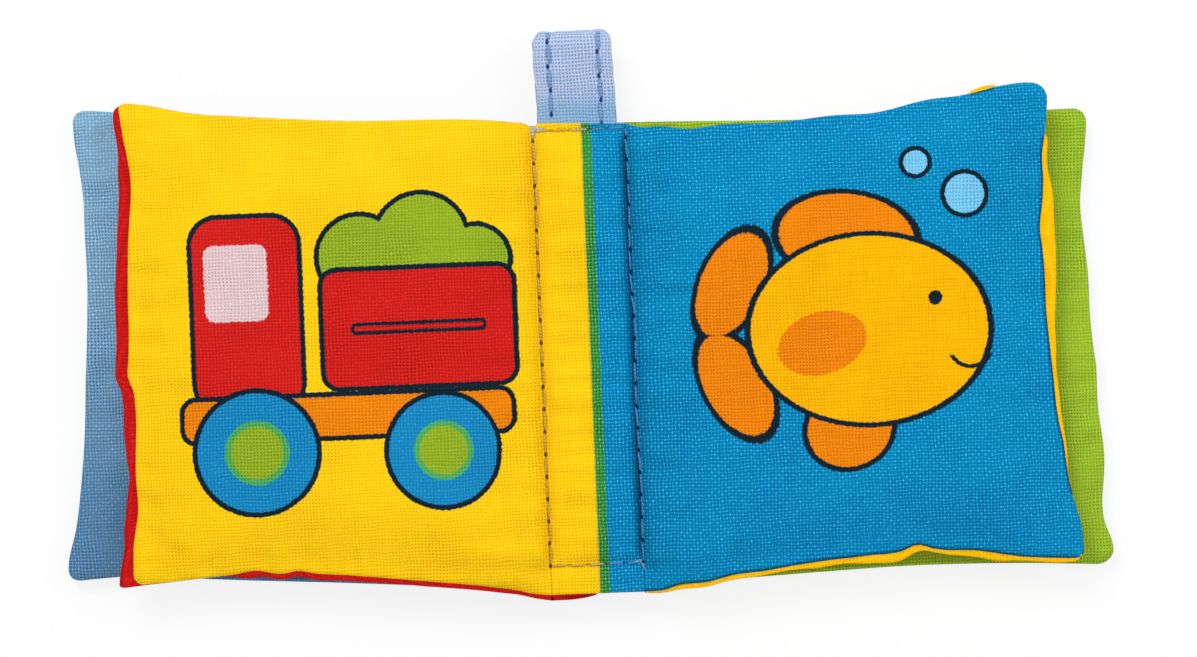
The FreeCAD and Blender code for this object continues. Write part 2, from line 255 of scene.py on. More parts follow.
LEAVES = {
    "left_page": PAGE | dict(
        sign=-1, corners=(1.5, 2.2), seed=3,
        outer=[(-45.8, 97.4), (-37.3, 97), (-30, 95.8), (-23.7, 96), (-8, 95.5), (-5.4, 95.7), (-2.2, 96.8),
               (1, 96.6), (5, 96.3), (15.8, 96.1), (25.4, 95.6), (40.3, 94.6), (47.9, 95.7), (55.2, 96.6)],
        top=[(9.8, 46.7), (10.4, 47.2), (11.4, 47.8), (13.5, 48.1), (52, 50), (72.7, 51.8), (79, 52.4),
             (84.1, 53.3), (90, 54.7), (94.2, 55.3), (97, 55.4)],
        bottom=[(9.8, -51.7), (13.7, -51.2), (17, -50.3), (21.8, -49.4), (37, -47.4), (54, -45.4),
                (59.1, -44.9), (63, -44.2), (66, -44.7), (71.8, -43.8), (76, -44.4), (81, -44.8), (87, -45.3),
                (97.4, -45.8)],
        outer_rim=[(-45.3, 1.8), (-42.5, 2.9), (-34.6, 2.7), (-30, 3.1), (-26, 2.2), (-22.4, 1.5), (-19, 2),
                   (-15, 2.6), (-6, 2.7), (16, 2.8), (25, 2.5), (38, 2.6), (42, 2.4), (45, 1.8), (48, 1.5),
                   (51, 1.6), (55, 0.9)],
        bottom_rim=[(9.8, 1.2), (13.7, 0.9), (20, 1.1), (37, 1.3), (52, 1.4), (60, 1.5), (66, 1.3), (70, 1.3),
                    (72.5, 1.7), (75.5, 0.6), (80, 0.2), (88, 0.3), (97, 0.6)],
    ),
    "right_page": PAGE | dict(
        sign=1, corners=(3.4, 2), seed=8,
        outer=[(-48.6, 102.3), (-44.4, 102.3), (-41.9, 102.1), (-36.8, 100.8), (-31.7, 99.8), (-24.1, 99),
               (-19, 98.1), (-11.4, 97.5), (-3.8, 97), (3.7, 96.5), (11.3, 96.5), (16.4, 96.3), (21.4, 95.9),
               (26.4, 96.6), (31.5, 97), (36.5, 97), (41.5, 97.8), (46.5, 98.4), (51.4, 98.9)],
        top=[(9.8, 46.9), (13.7, 45.9), (16.4, 46), (23.1, 45.1), (29, 45.7), (42.3, 45.7), (54, 46.7),
             (61.5, 46.8), (73.9, 49.2), (81, 49.8), (89.4, 51.5), (94, 51.9), (98.9, 51.4)],
        bottom=[(9.8, -51.8), (13.6, -51.6), (17, -50.6), (22.7, -50.2), (28.6, -48.9), (34.3, -48.4),
                (44.3, -47.1), (57.3, -46), (63.7, -45.5), (67.5, -44.2), (71, -45.2), (79.6, -45.9),
                (88.8, -47.5), (102.3, -48.5)],
        outer_rim=[(-48.6, 0), (-37, 0), (-33, 0.4), (-27, 0.5), (-22, 0.8), (-14, 1), (-9, 1), (-4, 1.4),
                   (1, 1.8), (6, 2.3), (13, 2.7), (17.5, 3), (21.4, 3.3), (24, 2.9), (29, 2.1), (33, 1.2),
                   (37, 1.2), (39.5, 0.9), (42, 0), (48, 0)],
        bottom_rim=[(9.8, 0.3), (13, 0.5), (16.8, 1), (24, 1.1), (32, 1.2), (40, 1), (46, 1.5), (51, 1.3),
                    (58, 1.9), (66, 1.9), (70.6, 0.9), (75, 1.2), (80, 1.6), (84, 1.7), (88, 1), (92, 0.8),
                    (97, 1), (102, 0.5)],
        top_rim=[(9.8, 0), (79, 0), (81, 0.1), (83.5, 0.7), (86, 0.7), (89, 0.1), (92, 0), (99, 0)],
    ),
    "left_cover": COVER | dict(
        sign=-1, corners=(3, 2.8), seed=13,
        outer=[(-44.4, 111.1), (-40.3, 110.8), (-33.5, 109), (-23.2, 107.4), (-16.5, 106.6), (-2.9, 105.7),
               (10.7, 104.8), (18, 104.5), (29, 104.6), (36.1, 104.6), (41.6, 105.1), (48.4, 106),
               (54.6, 106.2)],
        top=[(9.8, 46.9), (40, 48.9), (70, 51.2), (96, 53.5), (106.2, 54.4)],
        bottom=[(9.8, -50.6), (54, -47.1), (80, -45.3), (96, -43.9), (111.1, -44.5)],
    ),
    "right_cover": COVER | dict(
        sign=1, corners=(3.4, 3.4), seed=21,
        outer=[(-49.9, 108.2), (-47.4, 108.5), (-45.7, 108.4), (-40.6, 106.8), (-37.2, 106.5), (-32.2, 107),
               (-28.7, 107.3), (-15.4, 106.4), (-8, 106.4), (-3, 105.9), (2, 105.6), (11.8, 105.5),
               (20, 104.8), (26.1, 104.5), (31.8, 105.1), (39.1, 106.1), (46, 106.8)],
        top=[(9.8, 46.9), (25.5, 46.6), (42.3, 46.1), (70, 45.8), (106.2, 46)],
        bottom=[(9.8, -50.6), (40, -49.3), (69.8, -48.5), (90, -49), (107.8, -50)],
    ),
}
COVERS = ("left_cover", "right_cover")
for cover in COVERS:  # drawn as seen at the pages' height, so made larger
    for edge in ("outer", "top", "bottom"):
        LEAVES[cover][edge] = np.array(LEAVES[cover][edge]) * COVER_GROWTH


def leaf_size(leaf):
    """Width from the root to the lower outer corner, and height between the outer corners."""
    outer = leaf["outer"]
    return outer[0][1] - leaf["root"], outer[-1][0] - outer[0][0]


def round_corner(inward_x, inward_y, radius):
    """How far grid places near a square corner move inward, so that its edge becomes an arc of the radius."""
    p = np.clip(1 - inward_x / radius, 0, 1)
    q = np.clip(1 - inward_y / radius, 0, 1)
    pull = np.maximum(p, q) / np.maximum(np.hypot(p, q), 1e-9)
    pull = np.where((p > 0) & (q > 0), pull, 1.0)
    return radius * p * (1 - pull), radius * q * (1 - pull)


def flat_leaf(leaf, across, along):
    """Cut of a leaf as (x outward, y) millimetres at grid places from 0 to 1: x runs evenly from the
    straight root to the outer seam, y from the bottom to the top seam, and the outer corners are
    rounded."""
    outer, root = leaf["outer"], leaf["root"]
    s, t = np.meshgrid(across, along, indexing="ij")
    (low_y, low_x), (high_y, high_x) = outer[0], outer[-1]
    x = root + s * (through(outer, low_y + t * (high_y - low_y)) - root)
    bottom = through(leaf["bottom"], root + s * (low_x - root))
    top = through(leaf["top"], root + s * (high_x - root))
    y = bottom + t * (top - bottom)
    width, height = x[-1] - x[0], y[:, -1:] - y[:, :1]
    for near, radius, up in ((t, leaf["corners"][1], 1), (1 - t, leaf["corners"][0], -1)):
        in_x, in_y = round_corner((1 - s) * width, near * height, radius)
        x -= in_x
        y += up * in_y
    return x, y


def crown(q):
    """Height of a stuffed panel across its width: flat in the middle, round at the seams where q is 1."""
    return np.sqrt(np.clip(1 - np.clip(np.abs(q), 0, 1)**4, 0, 1))


def stuffed_leaf(leaf, across, along, full):
    """Front and back surfaces of a leaf as (x, y, z) millimetres. From the root, where both cloths lie in
    the sewn stack, the seam rises to the middle of the leaf's slab, and the cloths swell from it."""
    x, y = flat_leaf(leaf, across, along)
    s, t = np.meshgrid(across, along, indexing="ij")
    low, high = leaf["slab"]
    stack_low, stack_high = leaf["stack"]
    out = x - leaf["root"]
    rise, quick = (np.sin(math.pi / 2 * np.clip(out / swell, 0, 1)) * (1 - np.exp(-out / 1.5))
                   for swell in (ROOT_SWELL, leaf["front_swell"]))
    level = (stack_low + stack_high) / 2 * (1 - rise) + (low + high) / 2 * rise
    bulge = crown(np.maximum(0, 2 * s - 1)) * crown(2 * t - 1) * full
    half_stack = (stack_high - stack_low) / 2 * ((t > 0) & (t < 1) & (s < 1))
    above = half_stack * (1 - quick) + (high - level) * quick * bulge
    below = half_stack * (1 - rise) + (level - low) * rise * bulge
    return [np.stack([leaf["sign"] * x, y, z], axis=-1) for z in (level + above, level - below)]


# ---- stuffing by cloth simulation
SIM_SCALE = 10.0  # simulated ten times life size, which the solver likes
SIM_STEP = 2.4  # cloth grid in millimetres
SIM_START = 0.7  # share of its full height that a leaf starts with
SIM_SLACK = 0.006  # how much longer the cloth is than its starting shape
SIM_CAP = 1.35  # furthest that the stuffing moves a point, in millimetres
SIM_FRAMES = 20
COTTON_CLOTH = dict(
    quality=5, mass=0.3, tension_stiffness=100, compression_stiffness=100, shear_stiffness=8,
    bending_stiffness=0.1, air_damping=5, vertex_group_mass="sewn", use_pressure=True,
    uniform_pressure_force=4, shrink_min=-SIM_SLACK, shrink_max=-SIM_SLACK,
)


def sim_grid(leaf):
    """Grid places from 0 to 1 across and along a leaf's simulated cloth."""
    return [np.linspace(0, 1, int(length / SIM_STEP) + 1) for length in leaf_size(leaf)]


def simulate(names):
    """Inflates the leaves a little against seams and roots that stay put, all in one run. Returns how far
    each leaf's front and back moved, as grids of vectors in millimetres."""
    scene = bpy.context.scene
    scene.frame_start, scene.frame_end = 1, SIM_FRAMES
    runs = {}
    for name in names:
        leaf = LEAVES[name]
        across, along = sim_grid(leaf)
        front_index, back_index, faces, _ = two_cloths(len(across), len(along), leaf["sign"], seam=True)
        points = numbered(front_index, back_index, *stuffed_leaf(leaf, across, along, SIM_START))
        mesh = bpy.data.meshes.new(f"{name}_stuffing")
        mesh.from_pydata((points * MM * SIM_SCALE).tolist(), [], faces)
        obj = linked(bpy.data.objects.new(f"{name}_stuffing", mesh))
        sewn = np.concatenate([front_index[0], back_index[0], front_index[-1], front_index[:, 0],
                               front_index[:, -1]])
        obj.vertex_groups.new(name="sewn").add(np.unique(sewn).tolist(), 1.0, "REPLACE")
        cloth = obj.modifiers.new("cloth", "CLOTH")
        for setting, value in COTTON_CLOTH.items():
            setattr(cloth.settings, setting, value)
        cloth.settings.effector_weights.gravity = 0
        cloth.collision_settings.use_collision = False
        cloth.point_cache.frame_start, cloth.point_cache.frame_end = 1, SIM_FRAMES
        runs[name] = (obj, points, front_index, back_index)
    for number in range(1, SIM_FRAMES + 1):
        scene.frame_set(number)
    graph = bpy.context.evaluated_depsgraph_get()
    moved = {}
    for name, (obj, points, front_index, back_index) in runs.items():
        settled = np.empty(points.size, np.float32)
        obj.evaluated_get(graph).data.vertices.foreach_get("co", settled)
        move = settled.reshape(-1, 3) / (MM * SIM_SCALE) - points
        size = np.linalg.norm(move, axis=1, keepdims=True)
        move *= SIM_CAP * np.tanh(size / SIM_CAP) / np.maximum(size, 1e-9)
        moved[name] = (move[front_index], move[back_index])
    for obj, *_ in runs.values():
        bpy.data.objects.remove(obj)
    scene.frame_set(1)
    return moved


# ---- leaves: final meshes
# Wavelength, and height on a leaf's front and on its back: of the swells over its panels, the puckers along
# its seams and the folds beside its root.
SWELLS, PUCKERS, FOLDS = (26, 0.30, 0.20), (6.5, 0.22, 0.18), (8.5, 0.30, 0.15)
SHORT_PUCKERS = 3.6  # wavelength of those between, half as high
RIM_SEEN = 0.08  # a thinner rim isn't made
RIM_LINED = 0.2  # a rim from this width on gets a painted shadow line where the front cloth ends
RIM_FULL = 0.3  # and from this width on is held up at the seam's level
ROLL = 5.0  # how far in from the seam the roll of a rim reaches
DRAWN = 30.0  # and how far in the cloth under it is drawn along


def rim_shift(distance, rim):
    """How far the back cloth's points at a distance in from the seam move outward past it: a roll that
    stands out by rim, and the cloth under it drawn along, less and less."""
    swing = np.sin(math.pi * np.clip(distance / ROLL, 0, 1) ** 0.6)
    roll = np.where(distance < ROLL, distance + rim * swing, 0)
    drawn = np.where(distance >= ROLL, ROLL * (1 - smooth(ROLL, DRAWN, distance)), 0)
    return (roll + drawn) * np.clip(rim / RIM_FULL, 0, 1)


def between_holes(y):
    """0 at each needle hole of the long rows, 1 between two."""
    return np.abs(np.sin(math.pi * (y - STITCH_BOTTOM) / ROW_PITCH))


def off_the_row(distance, ease):
    """0 in the flat beside a row of stitches, 1 well away from it."""
    return 1 - np.exp(-np.maximum(distance - BESIDE, 0) / ease)


def root_lip(out, y):
    """How high a sewn cloth stands beside a row of stitches: it is drawn down at the row, most at each
    needle hole, puffs up within a few millimetres, and lies flat again past the rectangle's ends."""
    within = (smooth(STITCH_BOTTOM - 0.8, STITCH_BOTTOM + 1.2, y)
              * smooth(-STITCH_TOP - 0.6, -STITCH_TOP + 1.2, -y))
    return 2.1 * off_the_row(out, 0.8 - 0.3 * between_holes(y)) * np.exp(-(out / 6)**1.5) * within


def make_leaf(name, materials, moved):
    """Stuffed leaf with swells over its panels, puckers along its seams, folds beside its root and rims of
    the back cloth."""
    leaf = LEAVES[name]
    sign, seed = leaf["sign"], leaf["seed"]
    width, height = leaf_size(leaf)
    places = (stepped(width, first=(0.35, 0.22)), stepped(height))
    front, back = stuffed_leaf(leaf, *places, 1.0 if moved is None else SIM_START)
    cut_x, cut_y = sign * front[..., 0], front[..., 1].copy()
    if moved is not None:
        across, along = sim_grid(leaf)
        for surface, move in zip((front, back), moved):
            rows = curve(across, move, places[0])
            surface += np.swapaxes(curve(along, np.swapaxes(rows, 0, 1), places[1]), 0, 1)
    front_z, back_z = front[..., 2], back[..., 2]
    out = cut_x - leaf["root"]
    edges = {
        "outer_rim": (cut_x[-1:] - cut_x, cut_y, 0, sign),
        "top_rim": (cut_y[:, -1:] - cut_y, cut_x, 1, 1),
        "bottom_rim": (cut_y - cut_y[:, :1], cut_x, 1, -1),
    }
    from_edges = [edge[0] for edge in edges.values()]
    from_ends = np.minimum(*from_edges[1:])
    inside = smooth(0, 14, np.minimum(from_edges[0], from_ends)) * smooth(0, 22, out)
    front_z += SWELLS[1] * uneven(seed, SWELLS[0], cut_x, cut_y) * inside
    back_z -= SWELLS[2] * uneven(seed + 1, SWELLS[0], cut_x, cut_y) * inside
    for order, (distance, run, _, _) in enumerate(edges.values(), seed + 2):
        pucker = uneven(order, PUCKERS[0], run) + 0.5 * uneven(order + 50, SHORT_PUCKERS, run)
        pucker *= hump(distance, 2.2) * smooth(0, 6, out)
        front_z += PUCKERS[1] * pucker
        back_z -= PUCKERS[2] * pucker
    fold = uneven(seed + 9, FOLDS[0], cut_y) * hump(out, 5) * smooth(0, 4, from_ends)
    front_z += FOLDS[1] * fold
    back_z -= FOLDS[2] * fold
    if leaf["root"] == STITCH_X:
        front_z += root_lip(out, cut_y)
    from_seam = np.full_like(cut_x, AWAY)
    for rim_name, (distance, run, axis, way) in edges.items():
        if rim_name in leaf:
            rim = through(leaf[rim_name], run)
            from_others = np.minimum(*(other for other in from_edges if other is not distance))
            rim = np.where(rim > RIM_SEEN, rim, 0) * smooth(0, 1.6, from_others)
            back[..., axis] += way * rim_shift(distance, rim)
            held_up = (1 - smooth(0, 3.5, distance)) * np.clip(rim / RIM_FULL, 0, 1)
            back_z += (front_z[:, :1] - back_z) * held_up
            from_seam = np.minimum(from_seam, np.where(rim > RIM_LINED, distance, AWAY))
    low, high = leaf["slab"]
    np.minimum(front_z, high + leaf["over"], out=front_z)
    np.maximum(back_z, low, out=back_z)
    return cloth_piece(f"{name}_leaf", front, back, sign * cut_x, cut_y, materials, sign, True, from_seam)


# ---- shader maths
def colour(code):
    """Linear RGBA of a #rrggbb colour."""
    parts = [int(code[k:k + 2], 16) / 255 for k in (1, 3, 5)]
    return tuple(c / 12.92 if c <= 0.04045 else ((c + 0.055) / 1.055) ** 2.4 for c in parts) + (1.0,)


def operator(operation, reflected=False):
    """Method that makes one Math node of its value and others, in turned order where it is reflected."""
    def method(self, *others):
        values = (self, *others)
        return self.nodes.math(operation, *(values[::-1] if reflected else values))
    return method


class Value:
    """A shader number or colour. Each operation on it makes one Math node."""

    def __init__(self, nodes, socket):
        self.nodes = nodes
        self.socket = socket

    __add__ = __radd__ = operator("ADD")
    __sub__ = operator("SUBTRACT")
    __rsub__ = operator("SUBTRACT", reflected=True)
    __mul__ = __rmul__ = operator("MULTIPLY")
    __truediv__ = operator("DIVIDE")
    __abs__ = operator("ABSOLUTE")
    low = operator("MINIMUM")
    high = operator("MAXIMUM")
    sine = operator("SINE")
    root = operator("SQRT")
    fraction = operator("FRACT")


def hypot(a, b):
    return (a * a + b * b).root()


class Nodes:
    """A node tree under construction. A socket takes a Value, a number or a #rrggbb colour."""

    def __init__(self, tree):
        self.tree = tree

    def put(self, socket, value):
        if isinstance(value, Value):
            self.tree.links.new(value.socket, socket)
        else:
            socket.default_value = colour(value) if isinstance(value, str) else value

    def node(self, kind, settings=None, inputs=None, output=0):
        """Any node: its settings first, then socket values or links, then the output that is wanted."""
        made = self.tree.nodes.new(kind)
        for key, value in (settings or {}).items():
            setattr(made, key, value)
        for key, value in (inputs or {}).items():
            self.put(made.inputs[key], value)
        return Value(self, made.outputs[output])

    def math(self, operation, *values):
        return self.node("ShaderNodeMath", {"operation": operation}, dict(enumerate(values)))

    def step(self, value, start, end):
        """0 before start, 1 after end, an S curve between."""
        inputs = {"Value": value, "From Min": start, "From Max": end}
        return self.node("ShaderNodeMapRange", {"interpolation_type": "SMOOTHSTEP"}, inputs)

    def mix(self, factor, a, b, how="MIX"):
        settings = {"data_type": "RGBA", "blend_type": how}
        return self.node("ShaderNodeMix", settings, {0: factor, 6: a, 7: b}, 2)

    def vector(self, x, y, z=0.0):
        return self.node("ShaderNodeCombineXYZ", None, {0: x, 1: y, 2: z})

    def parts(self, vector):
        split = self.node("ShaderNodeSeparateXYZ", None, {0: vector}).socket.node
        return [Value(self, socket) for socket in split.outputs]

    def attribute(self, name):
        return self.node("ShaderNodeAttribute", {"attribute_name": name}, None, "Vector")

    def noise(self, vector, scale, detail=2.0, output=0):
        inputs = {"Vector": vector, "Scale": scale, "Detail": detail}
        return self.node("ShaderNodeTexNoise", None, inputs, output)


class Paint(Nodes):
    """A material under construction."""

    def __init__(self, name, roughness=0.9, specular=0.06):
        self.material = bpy.data.materials.new(name)
        self.material.use_nodes = True
        super().__init__(self.material.node_tree)
        self.surface = self.tree.nodes["Principled BSDF"]
        self.put(self.surface.inputs["Roughness"], roughness)
        self.put(self.surface.inputs["Specular IOR Level"], specular)

    def finish(self, base, height, rise):
        """Feeds the colour, and a bump whose height of 1 stands rise metres proud."""
        bump = self.node("ShaderNodeBump", None, {"Strength": 1.0, "Distance": rise, "Height": height})
        self.put(self.surface.inputs["Base Color"], base)
        self.put(self.surface.inputs["Normal"], bump)
        return self.material


# ---- plain-weave cotton
THREAD_PITCH = 0.70  # from one thread to the next, in millimetres
WANDER = 1.8  # threads that the weave strays by at most
BLEED = 0.16  # half width of the soft edge of an ink
STROKE = 1.1  # width of a printed outline


class Cotton(Paint):
    """Plain-weave cotton. Threads cross on a grid in the cloth's own millimetres: warp and weft each rise
    where the other dips, and a hole is left between four crossings. checker is how much of the crests'
    light goes to the crossings with the warp on top."""

    def __init__(self, name, checker=0.4):
        super().__init__(name)
        self.place = self.attribute("cloth")
        self.x, self.y, self.from_seam = self.parts(self.place)
        drifts = self.parts(self.noise(self.place, 0.13, 3.0, "Color"))
        sine_u, sine_v = (((way / THREAD_PITCH + (drift - 0.5) * WANDER) * math.pi).sine()
                          for way, drift in zip((self.x, self.y), drifts))
        over = sine_u * sine_v * 0.4
        warp = sine_u * sine_u * (over + 0.6)
        weft = sine_v * sine_v * (0.6 - over)
        self.height = warp.high(weft)
        self.hole = self.step(self.height, 0.46, 0.14) * (
            self.step(self.noise(self.place, 0.07), 0.3, 0.7) * 0.8 + 0.5)
        fleck = self.step(self.noise(self.place, 1.1), 0.25, 0.75) * 1.3 + 0.2
        # crest: where the painted highlight lies on the thread crowns, flecked unevenly
        self.crest = fleck * (
            self.step(self.height, 0.5, 0.95) * (1.05 - checker) + self.step(over, 0.08, 0.34) * checker)
        along = self.noise(self.vector(self.x * 0.11, self.y * 1.5), 1.0, 1.0)
        down = self.noise(self.vector(self.x * 1.5, self.y * 0.11, 7.0), 1.0, 1.0)
        self.uneven = (along + down) - 1.0
        self.rag = (self.noise(self.place, 1.5, 1.0) - 0.5) * 0.55 + over * 0.25

    def circle(self, x, y, radius):
        """Distance outside a circle."""
        return hypot(self.x - x, self.y - y) - radius

    def oval(self, x, y, half_width, half_height, turn=0.0):
        """Nearly the distance from an oval, turned by some degrees."""
        c, s = math.cos(math.radians(turn)), math.sin(math.radians(turn))
        across, up = self.x - x, self.y - y
        a = (across * c + up * s) / half_width
        b = (up * c - across * s) / half_height
        return (hypot(a, b) - 1.0) * min(half_width, half_height)

    def block(self, x, y, half_width, half_height, corner):
        """Distance outside a block with round corners."""
        a = (abs(self.x - x) - (half_width - corner)).high(0.0)
        b = (abs(self.y - y) - (half_height - corner)).high(0.0)
        return hypot(a, b) - corner

    def tone(self, base, crest, hole, crest_share=0.5, hole_share=0.7):
        """Inked thread: crests of the warp lighter, a painted highlight on the thread crowns, and open holes
        darker.
        """
        return self.mix(self.hole * hole_share, self.mix(self.crest * crest_share, base, crest), hole)

    def fill(self, base, distance, ink):
        """Ink over the base where the distance is below 0, with a slightly ragged edge."""
        return self.mix(self.step(distance + self.rag, BLEED, -BLEED), base, ink)

    def line(self, base, distance, ink, width=STROKE, where=1.0):
        """A stroke of ink of this width where the distance is 0."""
        drawn = self.step(abs(distance + self.rag * 0.6), width / 2 + 0.14, width / 2 - 0.14)
        return self.mix(drawn * where, base, ink)

    def outlined(self, base, ink, *shapes):
        """Shapes, each a distance and its inks, printed one over another with their outlines."""
        for distance, inks in shapes:
            base = self.line(self.fill(base, distance, self.tone(*inks)), distance, ink)
        return base

    def sewn_holes(self, tone, rows, start, pitch, low, high, ink, level=False):
        """Dark needle holes down the rows at these x, one every pitch from start, or fainter ones along
        level rows at these y."""
        to_side, on_way = (self.y, self.x) if level else (self.x, self.y)
        across = abs(to_side - rows[0])
        for row in rows[1:]:
            across = across.low(abs(to_side - row))
        along = (((on_way - start) / pitch + 0.5).fraction() - 0.5) * pitch
        near = (across * across / 0.13 + along * along / 0.42).root()
        half = (high - low) / 2
        inside = self.step(abs(on_way - (low + high) / 2), half + 0.6, half + 0.2)
        return self.mix(self.step(near, 1.25, 0.7) * inside * (0.5 if level else 1.0), tone, ink)

    def woven(self, tone, shade=0.16, seam=0.0):
        """Threads a little stronger or weaker, a painted shadow line along the seams, and the threads' own
        relief.
        """
        # seam sets how dark the painted shadow line along the seams is
        strength = (self.uneven * shade + 1.0) * (1.0 - self.step(self.from_seam, 0.8, 0.25) * seam)
        bright = self.node("ShaderNodeCombineColor", None, {k: strength for k in range(3)})
        tone = self.mix(1.0, tone, bright, "MULTIPLY")
        return self.finish(tone, self.height + self.uneven * 0.3, 0.10 * MM)


def plain_cotton(name, *inks):
    cotton = Cotton(name)
    return cotton.woven(cotton.tone(*inks))


def washed_cotton(name):
    """Light blue cotton printed unevenly: paler towards its top, deeper and greyer towards its bottom."""
    c = Cotton(name)
    pale = c.tone("#82aeca", "#b8d2e4", "#2c66a4", 0.65, 0.85)
    deep = c.tone("#5886a8", "#84a8c8", "#1f4c88", 0.65, 0.8)
    cloudy = (c.noise(c.place, 0.05) - 0.5) * 40.0
    return c.woven(c.mix(c.step(c.y + cloudy, 16.0, -28.0), pale, deep))


def strap_cotton():
    """Lavender at the fold, light blue towards both tails, with a needle hole at each stitch's end."""
    c = Cotton("strap_cotton")
    fold = c.tone("#b0bedc", "#d0d8ea", "#6084b4", 0.5, 0.75)
    tail = c.tone("#88aed0", "#a8c6e0", "#4278b0")
    tone = c.mix(c.step(abs(c.y - LOOP_TURN), 13.0, 19.0), fold, tail)
    for row, first in zip(LOOP_ROWS, LOOP_FIRSTS):
        upper = (first, LOOP_PITCH, 0.0, LOOP_TURN - 3)
        lower = (2 * LOOP_TURN - first, LOOP_PITCH, LOOP_TURN + 3, 2 * LOOP_TURN)
        for holes in (upper, lower):
            tone = c.sewn_holes(tone, (row,), *holes, "#20386c")
    return c.woven(tone)


# Inks as base, crest (painted highlight) and hole, then the shares of crest and hole where they aren't the
# usual ones.
YELLOW = ("#f8cc0c", "#fcd93c", "#e29600", 0.4)
BLUE = ("#0081b5", "#30b8e4", "#00508c")
RED = ("#ce1e1a", "#e0362c", "#900e10")
GREEN = ("#92ac22", "#a6be3e", "#5a7e18")
ORANGE = ("#ec8208", "#f2961e", "#b45a06")
GOLD = ("#f7b400", "#fac21c", "#d48600")
PINK = ("#dcc1c7", "#e8dade", "#ae8a86")
WHEEL_BLUE = ("#1484bc", "#38a4d4", "#0a5a8c")
RIM_GREEN = ("#4fa858", "#68b868", "#2a7848")
PALE_BLUE = ("#74c0e6", "#94d2f0", "#3c90c4")
OVERPRINT = ("#2e8c3c", "#74b45c", "#105038", 0.9, 0.9)
INK = ("#10222e", "#183442", "#0c1418")
HOLE_IN_YELLOW, HOLE_IN_BLUE = "#4c3a10", "#0a2848"
LONG_ROWS = ((-STITCH_X, STITCH_X), STITCH_BOTTOM, ROW_PITCH, STITCH_BOTTOM, STITCH_TOP)
SHORT_ROWS = (STITCH_ROWS, -STITCH_X, 2 * STITCH_X / SHORT_ROW, -STITCH_X, STITCH_X)


def truck_print():
    """A toy tipper on yellow: a green load in a red bed, a red cab with a pink window, an orange chassis
    and two blue wheels with green hubs, all outlined."""
    c = Cotton("yellow_print_cotton")
    ink = c.tone(*INK)
    load = c.circle(-47, 21, 9.0).low(c.circle(-34, 24, 10.0)).low(c.circle(-22.5, 19.5, 7.5))
    base = c.outlined(c.tone(*YELLOW), ink, (load, GREEN),
                      (c.block(-35, 6, 20.5, 12.5, 3.5), RED),
                      (c.block(-71, 10, 11.5, 20.5, 6.0), RED),
                      (c.block(-50.5, -12, 35, 4.6, 3.0), ORANGE))
    base = c.fill(base, c.block(-73, 16.5, 6.6, 8.0, 2.2), c.tone(*PINK))
    base = c.line(base, c.block(-35, 6, 14.0, 0.9, 0.8), ink, 0.8)
    for x, y, radius in ((-70, -19, 13.0), (-31, -20, 12.0)):
        base = c.outlined(base, ink, (c.circle(x, y, radius), WHEEL_BLUE))
        for share, inks in ((0.52, RIM_GREEN), (0.42, GREEN)):
            base = c.fill(base, c.circle(x, y, radius * share), c.tone(*inks))
    return c.woven(c.sewn_holes(base, *LONG_ROWS, HOLE_IN_YELLOW), shade=0.12)


def fish_print():
    """A yellow fish on blue, with orange fins, tail and patch and two bubbles, all outlined."""
    c = Cotton("blue_print_cotton", checker=0.48)
    ink = c.tone(*INK)
    tail = c.oval(30.5, 12, 7.0, 12.5, -28).low(c.oval(30.5, -9, 7.0, 12.5, 28))
    base = c.outlined(c.tone(*BLUE, 0.8), ink, (tail, ORANGE),
                      (c.oval(55, 21, 15, 9.5, -8), ORANGE),
                      (c.oval(54, -19, 9.5, 8.5, 20), ORANGE),
                      (c.oval(59, 1.5, 25.5, 20), GOLD))
    base = c.fill(base, c.oval(49, -1, 9.5, 6.5, 15), c.tone(*ORANGE))
    base = c.fill(base, c.circle(73, 7.5, 1.5), ink)
    base = c.line(base, c.circle(80.0, -2.5, 4.6), ink, 0.9, c.step(c.y, -4.2, -4.9))
    for bubble in (c.circle(80, 29, 4.6), c.circle(70, 36, 3.0)):
        base = c.fill(base, bubble, c.tone(*PALE_BLUE))
        base = c.line(base, bubble, ink, STROKE * 0.9)
    return c.woven(c.sewn_holes(base, *LONG_ROWS, HOLE_IN_BLUE), shade=0.2, seam=0.6)


def spine_print():
    """The page spread's strip: yellow from the left, blue from the right, a green stripe where they
    overlap, and painted shade beside the rows of stitches, where the cloth is drawn in under the puffed
    pages."""
    c = Cotton("spine_print_cotton")
    base = c.fill(c.tone(*YELLOW), 1.5 - c.x, c.tone(*BLUE, 0.9))
    edge = c.x - 1.5 + c.rag * 0.5
    stripe = c.step(edge, -1.5, -0.7) * c.step(edge, 1.2, 0.85)
    base = c.mix(stripe, base, c.tone(*OVERPRINT))
    side = c.step(c.x, -2.0, 3.0)
    dark = c.mix(side, HOLE_IN_YELLOW, HOLE_IN_BLUE)
    base = c.sewn_holes(base, *LONG_ROWS, dark)
    base = c.sewn_holes(base, *SHORT_ROWS, dark, level=True)
    within = c.step(abs(c.y - sum(STITCH_ROWS) / 2), 47.0, 42.0)
    # painted shade: darker towards the rows of stitches, most on the blue side
    painted_light = c.step(abs(c.x), STITCH_X - 2.3, STITCH_X) * within * (side * 0.65 + 0.12)
    return c.woven(c.mix(painted_light, base, c.mix(side, "#a86a00", "#002848")))


def thread_paint(name, plain, low=None, high=None):
    """Twisted sewing thread with bright strands winding round. plain, low and high hold its colour and its
    strands' shade at a tint of 0, -1 and 1: low is painted light bounced from yellow cloth, high is painted
    light bounced from blue cloth with painted shade."""
    paint = Paint(name, roughness=0.6)
    along, turn, tint = paint.parts(paint.attribute("twist"))
    strand = ((along * 1.4 + turn) * (2 * math.pi)).sine() * 0.5 + 0.5
    base, shade = plain
    # low and high mix in the painted bounce light and painted shade by tint
    for painted_light, way in ((low, -1), (high, 1)):
        if painted_light:
            share = paint.step(tint * way, 0, 1)
            base, shade = (paint.mix(share, *pair) for pair in zip((base, shade), painted_light))
    return paint.finish(paint.mix(strand * 0.45, base, shade), strand, 0.06 * MM)


